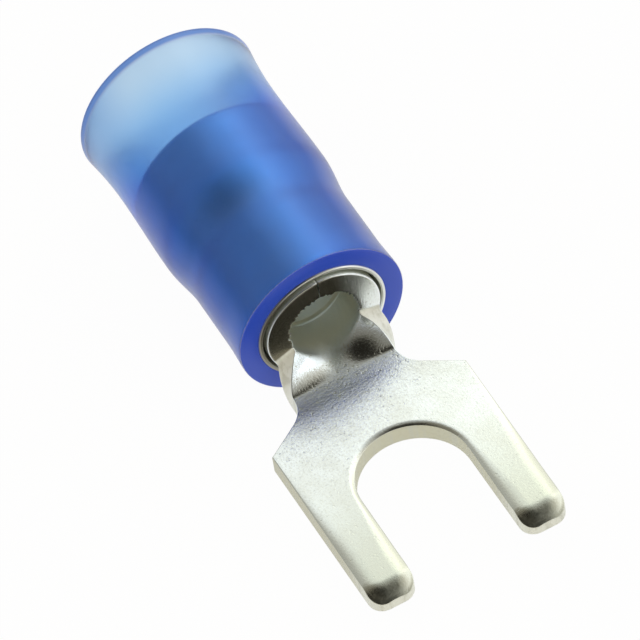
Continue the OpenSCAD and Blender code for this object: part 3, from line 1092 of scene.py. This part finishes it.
def stage_room(scene, stage):
    """A pale room that is darker where the camera stands, and white behind the object."""
    world = bpy.data.worlds.new("studio_room")
    world.use_nodes = True
    tree = world.node_tree
    tree.nodes.clear()
    path = add(tree, "ShaderNodeLightPath").outputs
    way = add(tree, "ShaderNodeTexCoord").outputs["Generated"]
    x, y, _ = axes(tree, way)
    to_camera = vector_maths(tree, "DOT_PRODUCT", way, CAMERA_WAY.normalized())["Value"]
    to_glow = vector_maths(tree, "DOT_PRODUCT", way, GLOW_WAY.normalized())["Value"]
    dark = times(tree, cone(tree, to_camera, DUSK_ANGLES, 1.0, DUSK_LEVEL),
                 cone(tree, to_camera, HOOD_ANGLES, 1.0, HOOD_LEVEL))
    wall = times(tree, spread(tree, x, *WALL_ALONG), spread(tree, y, *WALL_ACROSS))
    plain = plus(tree, spread(tree, y, *DIM_ACROSS, DIM_SHARE * stage.room, stage.room),
                 spread(tree, y, *RISE_ACROSS, 0.0, RISE_LEVEL))
    level = plus(tree, plain, cone(tree, to_glow, GLOW_ANGLES, 0.0, stage.glow))
    level = times(tree, plus(tree, level, times(tree, wall, WALL_LEVEL)), dark)
    matt = path["Is Diffuse Ray"]
    level = plus(tree, times(tree, level, maths(tree, "SUBTRACT", 1.0, matt)), times(tree, matt, MATT_LEVEL))
    tint = blend(tree, dark, DARK_COLOUR, ROOM_COLOUR)
    tint = blend(tree, cone(tree, to_glow, GLOW_ANGLES, 0.0, 1.0), tint, GLOW_COLOUR)
    room = add(tree, "ShaderNodeBackground", Color=tint, Strength=level)
    white = add(tree, "ShaderNodeBackground", Color=WHITE)
    seen = add(tree, "ShaderNodeMixShader", path["Is Camera Ray"], room, white)
    add(tree, "ShaderNodeOutputWorld", Surface=seen)
    scene.world = world


def floor_paint(finish):
    """A pale matt floor that looks white and keeps a faint shadow; to reflected and seen-through rays it
    glows, with a painted pool of light and a painted shade towards -Y.
    """
    material, tree, place = new_tree("floor_paint")
    path = add(tree, "ShaderNodeLightPath").outputs
    # Reflected and seen-through rays see the floor glow, with a painted pool of light and a painted shade
    # towards -Y
    away = vector_maths(tree, "DISTANCE", place, POOL_SPOT)["Value"]
    pool = times(tree, spread(tree, away, *POOL_FADE, *POOL_LEVELS),
                 spread(tree, axes(tree, place)[1], *SHADE_FADE, *SHADE_LEVELS))
    mirrored = maths(tree, "MAXIMUM", path["Is Glossy Ray"], path["Is Transmission Ray"])
    looked = maths(tree, "MAXIMUM", times(tree, path["Is Camera Ray"], FLOOR_WHITE), mirrored)
    matt = add(tree, "ShaderNodeBsdfDiffuse", Color=(*finish.floor, 1.0))
    glow = add(tree, "ShaderNodeEmission", Strength=maths(tree, "MAXIMUM", pool, path["Is Camera Ray"]))
    mixed = add(tree, "ShaderNodeMixShader", looked, matt, glow)
    add(tree, "ShaderNodeOutputMaterial", Surface=mixed)
    return material


def stage_floor(scene, stage, finish):
    """A floor under the lowest point of the object."""
    side = stage.floor_size / 2
    low = CAD_BOX[0][2]
    mesh = bpy.data.meshes.new("studio_floor")
    corners = [(-side, -side, low), (side, -side, low), (side, side, low), (-side, side, low)]
    mesh.from_pydata(corners, [], [(0, 1, 2, 3)])
    mesh.update()
    link_piece("studio_floor", mesh, floor_paint(finish))


class FORK_OT_stage(bpy.types.Operator):
    """Set the floor, the light and the camera"""
    bl_idname = "fork_terminal.stage"
    bl_label = "Studio"

    def execute(self, context):
        scene = context.scene
        scene.view_settings.view_transform = "Standard"
        stage_floor(scene, scene.fork_stage, scene.fork_finish)
        stage_lamp(scene, scene.fork_stage)
        stage_room(scene, scene.fork_stage)
        stage_camera(scene)
        return {"FINISHED"}


class FORK_PT_panel(bpy.types.Panel):
    """Lists the pieces and the studio"""
    bl_label = "Fork terminal"
    bl_idname = "FORK_PT_panel"
    bl_space_type = "VIEW_3D"
    bl_region_type = "UI"
    bl_category = "Fork terminal"

    def draw(self, context):
        for operator in OPERATORS:
            self.layout.operator(operator.bl_idname)


GROUPS = {"fork_sheet": ForkSheet, "fork_sleeve": ForkSleeve, "fork_insulator": ForkInsulator,
          "fork_finish": ForkFinish, "fork_stage": ForkStage}
OPERATORS = (FORK_OT_sheet, FORK_OT_sleeve, FORK_OT_insulator, FORK_OT_stage)
CLASSES = (*GROUPS.values(), *OPERATORS, FORK_PT_panel)


def register():
    for cls in CLASSES:
        bpy.utils.register_class(cls)
    for name, group in GROUPS.items():
        setattr(bpy.types.Scene, name, PointerProperty(type=group))


def unregister():
    for name in GROUPS:
        delattr(bpy.types.Scene, name)
    for cls in reversed(CLASSES):
        bpy.utils.unregister_class(cls)


def main():
    register()
    bpy.ops.fork_terminal.sheet()
    bpy.ops.fork_terminal.sleeve()
    bpy.ops.fork_terminal.insulator()
    bpy.ops.fork_terminal.stage()


if __name__ == "__main__":
    main()
